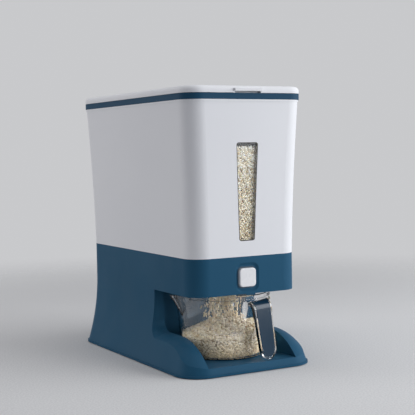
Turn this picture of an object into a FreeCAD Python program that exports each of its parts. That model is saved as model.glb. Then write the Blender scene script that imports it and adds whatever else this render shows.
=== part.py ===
"""Press-button rice dispenser: tapered bin on a base, sliding shutter, measuring jug in an open bay.

Millimetres. +Z up, front faces -Y, origin on the floor under the centre of the object's outline.
"""
import FreeCAD, Part
import math
import os

V = FreeCAD.Vector
ORIGIN = V(0, 0, 0)
UP = V(0, 0, 1)
DOWN = V(0, 0, -1)
ACROSS = V(1, 0, 0)
BACKWARD = V(0, 1, 0)
FORWARD = V(0, -1, 0)

# ---- base -------------------------------------------------------------------------------
junction_z = 156.0            # seam between base and bin
junction_half_x = 84.25
junction_half_y = 170.4
body_centre_y = 3.75          # the flare at the front is longer than the one at the back
junction_corner = 26.0
flare_top_z = 105.0           # the walls are upright above this height
flare_side = 18.5             # how far each wall has spread at floor level
flare_front = 15.6
flare_back = 6.9
flare_corner = 10.0
base_wall = 2.5
skirt_bottom_z = 1.0
skirt_height = 2.8
skirt_proud = 1.6
bite = 1.0                    # how far joined or cut forms run into each other

# ---- jug bay ----------------------------------------------------------------------------
jug_side_clearance = 1.7      # between the jug's rim and the bay's side walls
bay_corner = 12.0
tray_z = 12.5
tray_thickness = 2.5
apron_z = 105.0               # lower edge of the front apron
side_opening_back_y = -52.0
side_opening_fillet = 16.0
arm_top_z = 45.0
arm_curve_start_y = -105.0    # level behind this, curving down to the tray in front of it
arm_curve_radius = 98.5
arm_flat = 2.0                # level strip of the arm's top beside the bay
arm_roll_width = 22.0         # the top then rolls down towards the outer wall
arm_roll_drop = 8.0

# ---- bin --------------------------------------------------------------------------------
bin_wall = 2.5
bin_top_z = 366.7
bin_growth = 7.75             # spread of each wall from the seam to the top
bin_bow = 1.0                 # how far the walls bow inwards half way up
bin_corner = 26.0
bin_flange_height = 2.4
bin_flange_proud = 1.0
plug_depth = 10.0             # the bin's plug inside the base
plug_wall = 2.2
plug_clearance = 0.3
plug_ledge_height = 3.0

# ---- level window -----------------------------------------------------------------------
window_bottom_z = 177.0
window_top_z = 309.5
window_bottom_width = 24.4
window_top_width = 34.0
window_corner = 3.5
window_reach = 20.0           # half depth of the block that cuts the window
window_flange_width = 3.0
window_flange_thickness = 1.4
window_pane_inset = 0.5       # outer face of the pane behind the bin's face
window_seat_gap = 0.1
gasket_width = 1.3
gasket_clearance = 0.05
gasket_inset = 0.2

# ---- rim band and lid -------------------------------------------------------------------
rim_proud_side = 1.25         # the rim stands out from the bin's top edge
rim_proud_end = 0.9
rim_corner = 25.5
band_height = 8.4
band_width = 8.2
band_skirt_depth = 6.7
band_skirt_wall = 2.0
band_edge_radius = 0.7
lid_gap = 0.3
lid_height = 9.6
lid_edge_radius = 6.5
lid_ring_width = 10.7
lid_top_thickness = 2.4
lid_cavity_taper = 1.0
seal_inset = 5.9
seal_width = 2.2
seal_height = 2.0
seal_gap = 0.05
seal_clearance = 0.1
plug_rib_inset = 8.9
plug_rib_depth = 4.9
tab_width = 44.0
tab_proud = 3.0
tab_height = 3.8
tab_root = 3.0
tab_notch_width = 40.0        # finger notch in the lid's lower edge under the tab
tab_notch_height = 2.2
tab_notch_depth = 5.0
tab_corner = 1.5

# ---- lid hinge --------------------------------------------------------------------------
hinge_inset = 2.6             # hinge axis in front of the rear face
hinge_raise = 2.8             # hinge axis above the lid's lower edge
hinge_barrel_radius = 2.6
hinge_pin_radius = 1.1
hinge_running_clearance = 0.05
hinge_press_clearance = 0.02
hinge_x = 55.0
hinge_ear_width = 8.0
hinge_ear_clearance = 0.3
hinge_pin_length = 27.0

# ---- funnel -----------------------------------------------------------------------------
outlet_y = -97.0              # the jug stands centred under the outlet
outlet_width = 44.0
outlet_length = 8.0
funnel_z = 135.0
funnel_wall = 1.8
funnel_sheet = 3.0
funnel_front_slope = 30.0
funnel_back_slope = 24.6
funnel_clearance = 0.3
funnel_overreach = 5.0        # the sloping sheets are trimmed to the bin's walls
neck_bottom_z = 122.6

# ---- outlet panel and spout -------------------------------------------------------------
panel_z = 107.5
panel_thickness = 2.5
panel_clearance = 0.3
panel_back_overlap = 2.0
spout_wall = 1.8
spout_drop = 3.0
spout_play = 2.0              # the spout's throat is wider than the outlet all round
spout_flange_width = 3.0
spout_flange_thickness = 1.5
spout_clearance = 0.1

# ---- shutter ----------------------------------------------------------------------------
press_travel = 10.0
slide_z = 118.0
slide_thickness = 3.0
slide_half_width = 28.0
slide_back_y = -82.0
slide_shoulder_y = -138.0
slide_running_gap = 0.15
stem_half_width = 9.0
stem_margin = 1.2             # play round the stem's upright inside the button
stem_upright_thickness = 4.0
stem_rib_x = 5.0
stem_rib_width = 2.0
stem_rib_drop = 2.0
guide_front_y = -113.0
guide_back_y = -75.0
guide_half_width = 42.0
cover_thickness = 3.0
collar_wall = 2.0
collar_height = 3.0
cover_clearance = 0.2
shutter_seal_width = 2.5
shutter_seal_thickness = 1.0
shutter_seal_bore = 0.2
shutter_seal_clearance = 0.1
shutter_seal_gap = 0.05
shutter_seal_play = 0.02
shutter_screw_inset_x = 7.0
shutter_screw_inset_y = 6.0
shutter_screw_bite = 7.0
ear_thickness = 3.0
ear_half_height = 5.0
ear_half_width = 5.0

# ---- return springs ---------------------------------------------------------------------
spring_x = 35.0
spring_z = 117.5
spring_radius = 3.0
spring_wire_radius = 0.45
spring_turns = 6
spring_end_gap = 0.1
spring_pin_radius = 1.8
guide_pin_length = 8.0
ear_pin_length = 3.0

# ---- button -----------------------------------------------------------------------------
button_z = 127.5
button_size = 25.5
button_corner = 5.0
button_wall = 2.0
button_proud = 1.8
button_edge_radius = 1.4
button_gap = 0.5
button_flange = 1.2
button_flange_thickness = 1.8
button_flange_gap = 0.1
dish_width = 37.0
dish_height = 40.0
dish_corner = 10.5
dish_depth = 2.5
dish_floor_margin = 3.2
pad_margin = 2.5
pad_thickness = 5.0
sleeve_wall = 1.5
sleeve_back_y = -152.0
sleeve_flange_margin = 2.5
sleeve_flange_thickness = 2.0
sleeve_clearance = 0.1

# ---- measuring jug ----------------------------------------------------------------------
jug_top_z = 102.0
jug_rim_height = 6.0
jug_top_radius = 66.2         # under the rim
jug_rim_proud = 1.1
jug_foot_radius = 58.0
jug_foot_fillet = 8.0
jug_wall = 2.2
jug_rim_edge = 0.8
jug_back_clearance = 1.2
jug_floor = 2.5
pour_reach = 15.8             # tip of the pouring lip beyond the jug's wall
pour_half_angle = 23.0
pour_tip_round = 4.0
pour_height = 32.0
pour_toe = 2.0
pour_hollow_toe = 6.0
handle_angle = -72.0
strap_width = 31.5            # at its free end
strap_top_width = 36.5
strap_thickness = 4.5
strap_top_drop = 8.0          # the strap's top below the jug's
strap_foot_gap = 2.7          # its free end above the tray
strap_top_reach = 9.5        # outer face beyond the jug's wall, just under the bend
strap_bottom_reach = 20.2     # the same at the free end
strap_bend_radius = 13.0
strap_root_width = 70.0       # where the strap spreads along the jug's wall
strap_root_run = 9.8
gusset_depth = 18.0           # flare of the wall under the strap's root
gusset_run = 3.5
gusset_toe = 1.0
gusset_half_angle = 26.0
grip_margin = 3.0
grip_root_width = 63.0
grip_root_margin = 1.0
grip_thickness = 2.0
grip_clearance = 0.1
grip_proud = 0.3

# ---- bottom cover, feet and screws ------------------------------------------------------
cover_bottom_z = 1.2
bottom_cover_thickness = 2.5
bottom_cover_clearance = 0.4
foot_radius = 10.0
foot_recess = 1.0
foot_taper = 1.0
foot_x = 70.0
foot_front_y = -140.0
foot_back_y = 145.0
cover_screw_rows = (-105.0, 10.0, 120.0)
bin_screw_rows = (-125.0, 125.0)
screw_radius = 1.5
screw_head_radius = 2.8
screw_head_height = 1.8
screw_clearance = 0.2
screw_shank_gap = 0.05
screw_socket_radius = 0.9
screw_socket_depth = 1.0
screw_length = 9.0
bin_screw_length = 10.0
bin_screw_inset = 8.2
panel_screw_inset = 4.5
panel_screw_front_gap = 28.65
panel_screw_back_gap = 8.0
cover_screw_recess = 0.5
boss_radius = 3.8
boss_hole_depth = 9.0
post_height = 30.0
post_gap = 1.5
post_rib_raise = 4.0
rib_half_width = 1.0
panel_boss_height = 11.6
lug_reach = 10.5
lug_thickness = 3.0
lug_half_length = 6.0


# ---- places worked out from the sizes above ---------------------------------------------
front_y = body_centre_y - junction_half_y
rim_half_x = junction_half_x + bin_growth + rim_proud_side
rim_half_y = junction_half_y + bin_growth + rim_proud_end
rim_back_y = body_centre_y + rim_half_y
rim_front_y = body_centre_y - rim_half_y
jug_rim_radius = jug_top_radius + jug_rim_proud
bay_half_x = jug_rim_radius + jug_side_clearance
bay_back_y = outlet_y + jug_rim_radius + jug_back_clearance
band_top_z = bin_top_z + band_height
lid_bottom_z = band_top_z + lid_gap
lid_top_z = lid_bottom_z + lid_height
hinge_y = rim_back_y - hinge_inset
hinge_z = lid_bottom_z + hinge_raise
cover_top_z = cover_bottom_z + bottom_cover_thickness
panel_top_z = panel_z + panel_thickness
slide_top_z = slide_z + slide_thickness
guide_top_z = slide_top_z + 2 * slide_running_gap
cover_plate_top_z = guide_top_z + cover_thickness
ear_front_y = slide_shoulder_y
ear_back_y = ear_front_y + ear_thickness
pad_back_y = front_y + pad_thickness
button_front_y = front_y - button_proud
stem_front_y = button_front_y + button_wall
pour_bottom_z = jug_top_z - pour_height
strap_top_z = jug_top_z - strap_top_drop
strap_bottom_z = tray_z + strap_foot_gap
jug_root = 0.8 * jug_top_radius
far = 400.0


# ---- helpers ----------------------------------------------------------------------------
def rounded_wire(x_low, x_high, y_low, y_high, radius, z):
    """Closed wire: rectangle with round corners, level at height z."""
    half_turn = math.sqrt(0.5)
    corners = (
        (x_high - radius, y_low + radius, 1, -1),
        (x_high - radius, y_high - radius, 1, 1),
        (x_low + radius, y_high - radius, -1, 1),
        (x_low + radius, y_low + radius, -1, -1),
    )
    arcs = []
    for cx, cy, sx, sy in corners:
        side = V(cx + sx * radius, cy, z)
        end = V(cx, cy + sy * radius, z)
        middle = V(cx + sx * radius * half_turn, cy + sy * radius * half_turn, z)
        first, last = (end, side) if sx * sy < 0 else (side, end)
        arcs.append((first, middle, last))
    edges = []
    for index, (first, middle, last) in enumerate(arcs):
        edges.append(Part.Arc(first, middle, last).toShape())
        following = arcs[(index + 1) % 4][0]
        edges.append(Part.makeLine(last, following))
    return Part.Wire(edges)


def prism(wire, height):
    return Part.Face(wire).extrude(V(0, 0, height))


def loft(wires, ruled=False):
    return Part.makeLoft(list(wires), True, ruled)


def box(x_low, x_high, y_low, y_high, z_low, z_high):
    return Part.makeBox(x_high - x_low, y_high - y_low, z_high - z_low, V(x_low, y_low, z_low))


def rod(radius, length, base, direction):
    return Part.makeCylinder(radius, length, base, direction)


def fuse(shapes):
    result = shapes[0]
    for shape in shapes[1:]:
        result = result.fuse(shape)
    return result.removeSplitter()


def cut(shape, tools):
    for tool in tools:
        shape = shape.cut(tool)
    return shape


def rounded_box(x_low, x_high, y_low, y_high, radius, z_low, z_high):
    return prism(rounded_wire(x_low, x_high, y_low, y_high, radius, z_low), z_high - z_low)


def front_block(half_x, half_z, radius, centre_z, y_low, y_high):
    """Rounded rectangle in the XZ plane, drawn out along Y."""
    flat = rounded_box(-half_x, half_x, -half_z, half_z, radius, 0, y_high - y_low)
    flat.rotate(ORIGIN, ACROSS, 90)
    flat.translate(V(0, y_high, centre_z))
    return flat


def save(name, shape):
    if isinstance(shape, list):
        shape = Part.makeCompound(shape)
    shape.exportStep("parts/" + name + ".step")


# ---- sections of the base and the bin ---------------------------------------------------
def flare(z):
    """Share of the full flare at height z: a parabola from the upright wall to the floor."""
    return (max(flare_top_z - z, 0.0) / flare_top_z) ** 2


def base_wire(z, inset, at=None):
    share = flare(z if at is None else at)
    half_x = junction_half_x + flare_side * share - inset
    front = body_centre_y - junction_half_y - flare_front * share + inset
    back = body_centre_y + junction_half_y + flare_back * share - inset
    corner = junction_corner + flare_corner * share - inset
    return rounded_wire(-half_x, half_x, front, back, corner, z)


def base_form(inset, z_low, z_high):
    """Solid of the flared base, moved in by inset, between two heights."""
    steps = 6
    heights = [z_low + (flare_top_z - z_low) * i / steps for i in range(steps + 1)]
    lower = loft([base_wire(z, inset) for z in heights])
    upper = prism(base_wire(flare_top_z, inset), z_high - flare_top_z)
    return lower.fuse(upper)


def bin_offset(z):
    share = (z - junction_z) / (bin_top_z - junction_z)
    return bin_growth * share - bin_bow * 4 * share * (1 - share)


def bin_wire(z, inset):
    grow = bin_offset(z) - inset
    half_x = junction_half_x + grow
    half_y = junction_half_y + grow
    corner = bin_corner - inset
    return rounded_wire(-half_x, half_x, body_centre_y - half_y, body_centre_y + half_y, corner, z)


def bin_form(inset):
    steps = 5
    heights = [junction_z + (bin_top_z - junction_z) * i / steps for i in range(steps + 1)]
    return loft([bin_wire(z, inset) for z in heights])


def rim_wire(z, inset):
    front = body_centre_y - rim_half_y + inset
    back = body_centre_y + rim_half_y - inset
    half_x = rim_half_x - inset
    return rounded_wire(-half_x, half_x, front, back, rim_corner - inset, z)


def rim_ring(z_low, z_high, inset_outer, inset_inner):
    outer = prism(rim_wire(z_low, inset_outer), z_high - z_low)
    return outer.cut(prism(rim_wire(z_low, inset_inner), z_high - z_low))


# ---- base housing -----------------------------------------------------------------------
def arm_side_outline(back, lift, drop):
    """Side view of the open bay above the arms; back and lift move it out by a wall.

    The arm's top and its front curve lie lower by the drop.
    """
    centre_z = arm_top_z - arm_curve_radius
    radius = arm_curve_radius - lift - drop
    low_z = tray_z - lift
    reach = math.sqrt(radius ** 2 - (low_z - centre_z) ** 2)
    end = V(0, arm_curve_start_y - reach, low_z)
    start = V(0, arm_curve_start_y, centre_z + radius)
    half_angle = 0.5 * math.atan2(reach, low_z - centre_z)
    middle = V(0, arm_curve_start_y - radius * math.sin(half_angle), centre_z + radius * math.cos(half_angle))
    fillet = side_opening_fillet + back
    rear_y = side_opening_back_y + back
    top_of_arm = arm_top_z - lift - drop
    corner_a = V(0, rear_y, top_of_arm + fillet)
    corner_b = V(0, rear_y - fillet, top_of_arm)
    turn = fillet * (1 - math.sqrt(0.5))
    corner_mid = V(0, rear_y - turn, top_of_arm + turn)
    high = apron_z + back
    ahead_y = front_y - flare_front - skirt_proud - bite
    points = (end, V(0, ahead_y, low_z), V(0, ahead_y, high), V(0, rear_y, high), corner_a)
    edges = [Part.makeLine(a, b) for a, b in zip(points, points[1:])]
    edges.append(Part.Arc(corner_a, corner_mid, corner_b).toShape())
    edges.append(Part.makeLine(corner_b, start))
    edges.append(Part.Arc(start, middle, end).toShape())
    return Part.Wire(edges)


def side_opening(back=0.0, lift=0.0):
    """Opening above the arms on both sides; the arms' tops roll down outwards on a parabola."""
    flat_x = bay_half_x + arm_flat
    middle = Part.Face(arm_side_outline(back, lift, 0.0))
    middle.translate(V(-flat_x, 0, 0))
    opening = middle.extrude(V(2 * flat_x, 0, 0))
    run = junction_half_x + flare_side + skirt_proud + bite - flat_x
    steps = 4
    for side in (-1, 1):
        wires = []
        for i in range(steps + 1):
            across = run * i / steps
            wire = arm_side_outline(back, lift, arm_roll_drop * (across / arm_roll_width) ** 2)
            wire.translate(V(side * (flat_x + across), 0, 0))
            wires.append(wire)
        opening = opening.fuse(loft(wires))
    return opening


def bay(outset=0.0):
    """The jug's room between the arms, from the tray up to the apron's lower edge."""
    half_x = bay_half_x + outset
    floor = tray_z - (tray_thickness if outset else 0.0)
    top = panel_z if outset else apron_z
    return rounded_box(-half_x, half_x, -far, bay_back_y + outset, bay_corner + outset, floor, top)


def head_recess():
    """Room under the outlet panel, inside the apron and over the bay."""
    inside = prism(base_wire(apron_z, base_wall), panel_z - apron_z)
    over_arms = box(-far, far, -far, side_opening_back_y, apron_z, panel_z)
    over_bay = rounded_box(-bay_half_x, bay_half_x, -far, bay_back_y, bay_corner, apron_z, panel_z)
    return inside.common(over_arms.fuse(over_bay))


def button_pad(grow, y_back):
    """Thick pad behind the front wall, round the button."""
    half_x = 0.5 * dish_width + pad_margin + grow
    half_z = 0.5 * dish_height + pad_margin + grow
    corner = dish_corner + pad_margin + grow
    return front_block(half_x, half_z, corner, button_z, front_y + 0.5 * base_wall, y_back)


def button_seat():
    """The pad with the button's dished recess and the sleeve's hole."""
    half_x = 0.5 * dish_width
    half_z = 0.5 * dish_height
    rear = button_pad(0.0, pad_back_y)
    floor_x = half_x - dish_floor_margin
    floor_z = half_z - dish_floor_margin
    floor_corner = dish_corner - dish_floor_margin
    mouth = rounded_wire(-half_x, half_x, -half_z, half_z, dish_corner, 0)
    floor = rounded_wire(-floor_x, floor_x, -floor_z, floor_z, floor_corner, -dish_depth)
    dish = loft([mouth, floor], True)
    dish.rotate(ORIGIN, ACROSS, 90)
    dish.translate(V(0, front_y, button_z))
    sleeve_half = 0.5 * button_size + button_gap + sleeve_wall + sleeve_clearance
    hole = front_block(sleeve_half, sleeve_half, button_corner + button_gap + sleeve_wall,
                       button_z, front_y - base_wall, pad_back_y + base_wall)
    return rear, [dish, hole]


def bin_screw_places():
    x = junction_half_x - bin_screw_inset
    return [(side * x, y) for side in (-1, 1) for y in bin_screw_rows]


def panel_screw_places():
    x = junction_half_x - base_wall - panel_clearance - panel_screw_inset
    rows = (front_y + panel_screw_front_gap, side_opening_back_y - panel_screw_back_gap)
    return [(side * x, y) for side in (-1, 1) for y in rows]


def cover_screw_places():
    arm_x = bay_half_x + base_wall + boss_radius + post_gap
    return [(side * arm_x, y) for side in (-1, 1) for y in cover_screw_rows]


def bin_lugs():
    """Lugs on the base's side walls that the bin is screwed to from below."""
    lugs = []
    top = junction_z - plug_depth - screw_clearance
    for x, y in bin_screw_places():
        side = math.copysign(1, x)
        wall_x = side * (junction_half_x - 0.5 * base_wall)
        tip_x = side * (junction_half_x - base_wall - lug_reach)
        low_x, high_x = sorted((wall_x, tip_x))
        lug = box(low_x, high_x, y - lug_half_length, y + lug_half_length, top - lug_thickness, top)
        hole = rod(screw_radius + screw_clearance, 2 * lug_thickness, V(x, y, top - 1.5 * lug_thickness), UP)
        lugs.append(lug.cut(hole))
    return lugs


def panel_bosses():
    """Bosses over the outlet panel, joined to the apron's side walls by short ribs."""
    bosses = []
    holes = []
    for x, y in panel_screw_places():
        wall_x = math.copysign(junction_half_x - 0.5 * base_wall, x)
        low_x, high_x = sorted((x, wall_x))
        bosses.append(rod(boss_radius, panel_boss_height, V(x, y, panel_top_z), UP))
        bosses.append(box(low_x, high_x, y - rib_half_width, y + rib_half_width,
                          panel_top_z, panel_top_z + panel_boss_height))
        holes.append(rod(screw_radius, boss_hole_depth, V(x, y, panel_top_z), UP))
    return bosses, holes


def cover_posts():
    """Posts inside the base that the bottom cover's screws go into."""
    posts = []
    holes = []
    for x, y in cover_screw_places():
        top = arm_top_z - tray_thickness if y < side_opening_back_y else cover_top_z + post_height
        posts.append(rod(boss_radius, top - cover_top_z, V(x, y, cover_top_z), UP))
        outer_x = math.copysign(junction_half_x + flare_side, x)
        low_x, high_x = sorted((x, outer_x))
        posts.append(box(low_x, high_x, y - rib_half_width, y + rib_half_width,
                         cover_top_z + post_rib_raise, top))
        holes.append(rod(screw_radius, boss_hole_depth, V(x, y, cover_top_z), UP))
    return posts, holes


def skirt():
    ring = prism(skirt_wire(-skirt_proud), skirt_height)
    return ring.cut(prism(skirt_wire(0.5 * base_wall), skirt_height))


def skirt_wire(inset):
    return base_wire(skirt_bottom_z, inset, skirt_bottom_z + skirt_height)


def base_housing():
    outer = base_form(0.0, skirt_bottom_z, junction_z)
    outer = cut(outer, [bay(), side_opening(), head_recess()])
    inner = base_form(base_wall, skirt_bottom_z, junction_z)
    walls = fuse([bay(base_wall), side_opening(base_wall, base_wall)])
    walls = walls.common(box(-far, far, -far, far, 0, panel_z))
    shell = outer.cut(inner.cut(walls))
    seat, recesses = button_seat()
    bosses, boss_holes = panel_bosses()
    posts, post_holes = cover_posts()
    inside = base_form(0.5 * base_wall, skirt_bottom_z, junction_z)
    inside = cut(inside, [bay(), side_opening(), head_recess()])
    added = [piece.common(inside) for piece in posts + bosses + bin_lugs() + [seat]]
    shell = fuse([shell, skirt()] + added)
    return cut(shell, recesses + boss_holes + post_holes)


# ---- bottom cover and feet --------------------------------------------------------------
def foot_places():
    return [(side * foot_x, y) for side in (-1, 1) for y in (foot_front_y, foot_back_y)]


def bottom_cover():
    inset = base_wall + bottom_cover_clearance
    outline = base_wire(cover_bottom_z, inset, cover_top_z)
    plate = prism(outline, bottom_cover_thickness)
    tools = []
    for x, y in cover_screw_places():
        tools.append(rod(screw_radius + screw_clearance, far, V(x, y, 0), UP))
        head_z = cover_bottom_z - cover_screw_recess
        tools.append(rod(screw_head_radius + screw_clearance, screw_head_height, V(x, y, head_z), UP))
    for x, y in foot_places():
        tools.append(rod(foot_radius + screw_clearance, foot_recess, V(x, y, cover_bottom_z), UP))
    return cut(plate, tools)


def rubber_feet():
    height = cover_bottom_z + foot_recess
    low_radius = foot_radius - foot_taper
    return [Part.makeCone(low_radius, foot_radius, height, V(x, y, 0), UP) for x, y in foot_places()]


def bottom_cover_screws():
    head_top = cover_bottom_z - cover_screw_recess + screw_head_height
    return [screw(x, y, head_top, screw_length) for x, y in cover_screw_places()]


def screw(x, y, head_top_z, length):
    """Pan-head screw driven upwards: head below, shank above."""
    head = rod(screw_head_radius, screw_head_height, V(x, y, head_top_z - screw_head_height), UP)
    shank = rod(screw_radius - screw_shank_gap, length, V(x, y, head_top_z), UP)
    socket = rod(screw_socket_radius, screw_socket_depth, V(x, y, head_top_z - screw_head_height), UP)
    return head.fuse(shank).removeSplitter().cut(socket)


# ---- bin --------------------------------------------------------------------------------
def window_outline(margin, y):
    """Closed wire of the level window in the XZ plane, grown by margin."""
    low_z = window_bottom_z - margin
    high_z = window_top_z + margin
    low_x = 0.5 * window_bottom_width + margin
    high_x = 0.5 * window_top_width + margin
    corners = [V(low_x, y, low_z), V(high_x, y, high_z), V(-high_x, y, high_z), V(-low_x, y, low_z)]
    return Part.makePolygon(corners + corners[:1])


def window_block(margin):
    """Tapered block through the front wall, with round corners."""
    block = Part.Face(window_outline(margin, front_y - window_reach)).extrude(V(0, 2 * window_reach, 0))
    edges = [edge for edge in block.Edges if edge.BoundBox.YLength > 1.9 * window_reach]
    return block.makeFillet(window_corner + margin, edges)


def hopper_tub():
    shell = bin_form(0.0).cut(bin_form(bin_wall))
    flange_z = bin_top_z - bin_flange_height
    flange = prism(bin_wire(flange_z, -bin_flange_proud), bin_flange_height)
    flange = flange.cut(prism(bin_wire(flange_z, 0.5 * bin_wall), bin_flange_height))
    plug_outer = base_wall + plug_clearance
    plug_inner = plug_outer + plug_wall
    plug_low = junction_z - plug_depth
    plug = prism(base_wire(plug_low, plug_outer, flare_top_z), plug_depth + plug_ledge_height)
    plug = plug.cut(prism(base_wire(plug_low, plug_inner, flare_top_z), plug_depth + plug_ledge_height))
    ledge = prism(base_wire(junction_z, 0.5 * base_wall, flare_top_z), plug_ledge_height)
    ledge = ledge.cut(prism(base_wire(junction_z, plug_inner, flare_top_z), plug_ledge_height))
    bosses = []
    holes = []
    for x, y in bin_screw_places():
        bosses.append(rod(boss_radius, plug_depth + plug_ledge_height, V(x, y, plug_low), UP))
        holes.append(rod(screw_radius, boss_hole_depth, V(x, y, plug_low), UP))
    body = fuse([shell, flange, plug, ledge] + bosses)
    pad_room = button_pad(plug_clearance, pad_back_y + plug_clearance)
    return cut(body, holes + [window_block(0.0), pad_room])


def bin_screws():
    head_top = junction_z - plug_depth - screw_clearance - lug_thickness
    return [screw(x, y, head_top, bin_screw_length) for x, y in bin_screw_places()]


def front_layer(near, far_inset):
    """Layer of the bin's form between two insets, for pieces that follow its front wall."""
    layer = bin_form(near).cut(bin_form(far_inset))
    room = box(-window_top_width, window_top_width, front_y - window_reach, front_y + window_reach,
               junction_z, bin_top_z)
    return layer.common(room)


def window_pane():
    seat = bin_wall + window_seat_gap
    boss = window_block(-gasket_width).common(front_layer(window_pane_inset, seat + window_seat_gap))
    flange_layer = front_layer(seat, seat + window_flange_thickness)
    flange = window_block(window_flange_width).common(flange_layer)
    return fuse([boss, flange])


def window_gasket():
    ring = window_block(-gasket_clearance).cut(window_block(gasket_clearance - gasket_width))
    return ring.common(front_layer(gasket_inset, bin_wall + gasket_clearance))


# ---- funnel -----------------------------------------------------------------------------
def funnel_wires(grow, drop):
    """Outlet and top edges of the sloping floor; grow widens the outlet, drop lowers it."""
    half_x = 0.5 * outlet_width + grow
    front = outlet_y - 0.5 * outlet_length - grow
    back = outlet_y + 0.5 * outlet_length + grow
    low_z = funnel_z - drop
    reach_x = rim_half_x + funnel_overreach
    reach_front = rim_front_y - funnel_overreach
    reach_back = rim_back_y + funnel_overreach
    front_z = low_z + (front - reach_front) * math.tan(math.radians(funnel_front_slope))
    back_z = low_z + (reach_back - back) * math.tan(math.radians(funnel_back_slope))
    low = [V(-half_x, front, low_z), V(half_x, front, low_z), V(half_x, back, low_z), V(-half_x, back, low_z)]
    high = [V(-reach_x, reach_front, front_z), V(reach_x, reach_front, front_z),
            V(reach_x, reach_back, back_z), V(-reach_x, reach_back, back_z)]
    return Part.makePolygon(low + low[:1]), Part.makePolygon(high + high[:1])


def hopper_funnel():
    inner = loft(funnel_wires(0.0, 0.0), True)
    outer = loft(funnel_wires(funnel_wall, funnel_sheet), True)
    sheet = outer.cut(inner)
    inset = bin_wall + funnel_clearance
    room = bin_form(inset)
    below = base_wire(neck_bottom_z, 2 * inset + plug_wall, flare_top_z)
    room = room.fuse(prism(below, junction_z - neck_bottom_z + bite))
    sheet = sheet.common(room)
    half_x = 0.5 * outlet_width
    half_y = 0.5 * outlet_length
    neck = box(-half_x - funnel_wall, half_x + funnel_wall, outlet_y - half_y - funnel_wall,
               outlet_y + half_y + funnel_wall, neck_bottom_z, funnel_z)
    throat = box(-half_x, half_x, outlet_y - half_y, outlet_y + half_y, neck_bottom_z, funnel_z)
    return fuse([sheet, neck]).cut(throat)


# ---- rim band and lid -------------------------------------------------------------------
def hinge_ears(y, z):
    ears = []
    holes = []
    for side in (-1, 1):
        x = side * hinge_x - 0.5 * hinge_ear_width
        ears.append(rod(hinge_barrel_radius, hinge_ear_width, V(x, y, z), ACROSS))
        ears.append(box(x, x + hinge_ear_width, y - hinge_barrel_radius, y + 0.5 * hinge_barrel_radius,
                        band_top_z - bite, z))
        hole_radius = hinge_pin_radius + hinge_running_clearance
        holes.append(rod(hole_radius, 2 * hinge_ear_width, V(x - 0.5 * hinge_ear_width, y, z), ACROSS))
    return ears, holes


def rim_band():
    ring = rim_ring(bin_top_z, band_top_z, 0.0, band_width)
    outer_edges = []
    for edge in ring.Edges:
        size = edge.BoundBox
        level = size.ZLength < 0.01
        outside = max(abs(size.XMax), abs(size.XMin)) > rim_half_x - 0.1 or size.YMax > rim_back_y - 0.1
        outside = outside or size.YMin < rim_front_y + 0.1
        if level and outside:
            outer_edges.append(edge)
    ring = ring.makeFillet(band_edge_radius, outer_edges)
    skirt_z = bin_top_z - band_skirt_depth
    skirt_inset = bin_wall + plug_clearance
    skirt_outer = prism(bin_wire(skirt_z, skirt_inset), band_skirt_depth + bite)
    skirt_inner = prism(bin_wire(skirt_z, skirt_inset + band_skirt_wall), band_skirt_depth + bite)
    skirt_ring = skirt_outer.cut(skirt_inner)
    ears, holes = hinge_ears(hinge_y, hinge_z)
    return cut(fuse([ring, skirt_ring] + ears), holes)


def lid_tab():
    low = lid_bottom_z + tab_notch_height
    half = 0.5 * tab_width
    tab = box(-half, half, rim_front_y - tab_proud, rim_front_y + tab_root, low, low + tab_height)
    edges = [edge for edge in tab.Edges
             if edge.BoundBox.YMax < rim_front_y - tab_proud + 0.1 and edge.BoundBox.XLength < tab_width - 1]
    return tab.makeFillet(tab_corner, edges)


def tab_notch():
    """Finger notch under the tab."""
    half = 0.5 * tab_notch_width
    return box(-half, half, rim_front_y - bite, rim_front_y + tab_notch_depth,
               lid_bottom_z - bite, lid_bottom_z + tab_notch_height)


def lid_cavity():
    """Hollow under the lid inside its solid rim, coned up to the top sheet."""
    low = rim_wire(lid_bottom_z, lid_ring_width)
    top = rim_wire(lid_top_z - lid_top_thickness, lid_ring_width + lid_cavity_taper)
    return loft([low, top], True)


def lid_hinge_cuts():
    """Slots for the band's ears, holes for the pins and the rounded rear lower edge."""
    tools = []
    half = 0.5 * hinge_ear_width + hinge_ear_clearance
    reach = hinge_barrel_radius + hinge_ear_clearance
    for side in (-1, 1):
        x = side * hinge_x
        tools.append(box(x - half, x + half, hinge_y - reach, hinge_y + far,
                         lid_bottom_z - bite, hinge_z + reach))
        pin_radius = hinge_pin_radius + hinge_press_clearance
        length = hinge_pin_length + 2 * hinge_ear_clearance
        tools.append(rod(pin_radius, length, V(x - 0.5 * length, hinge_y, hinge_z), ACROSS))
    corner = box(-far, far, hinge_y, hinge_y + far, lid_bottom_z - bite, hinge_z)
    barrel = rod(hinge_barrel_radius, 2 * far, V(-far, hinge_y, hinge_z), ACROSS)
    tools.append(corner.cut(barrel))
    return tools


def lid_panel():
    block = prism(rim_wire(lid_bottom_z, 0.0), lid_height)
    top_edges = [edge for edge in block.Edges if edge.BoundBox.ZMin > lid_top_z - 0.01]
    block = block.makeFillet(lid_edge_radius, top_edges)
    trough_top = lid_bottom_z + seal_height + seal_clearance
    trough = rim_ring(lid_bottom_z, trough_top, seal_inset - seal_clearance, plug_rib_inset)
    rib = rim_ring(lid_bottom_z - plug_rib_depth, lid_bottom_z + bite, plug_rib_inset, lid_ring_width)
    body = fuse([cut(block, [trough, tab_notch()]), lid_tab(), rib])
    return cut(body, [lid_cavity()] + lid_hinge_cuts())


def lid_seal():
    return rim_ring(band_top_z + seal_gap, lid_bottom_z + seal_height, seal_inset, seal_inset + seal_width)


def lid_hinge_pins():
    pins = []
    for side in (-1, 1):
        start = side * hinge_x - 0.5 * hinge_pin_length
        pins.append(rod(hinge_pin_radius, hinge_pin_length, V(start, hinge_y, hinge_z), ACROSS))
    return pins


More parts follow.
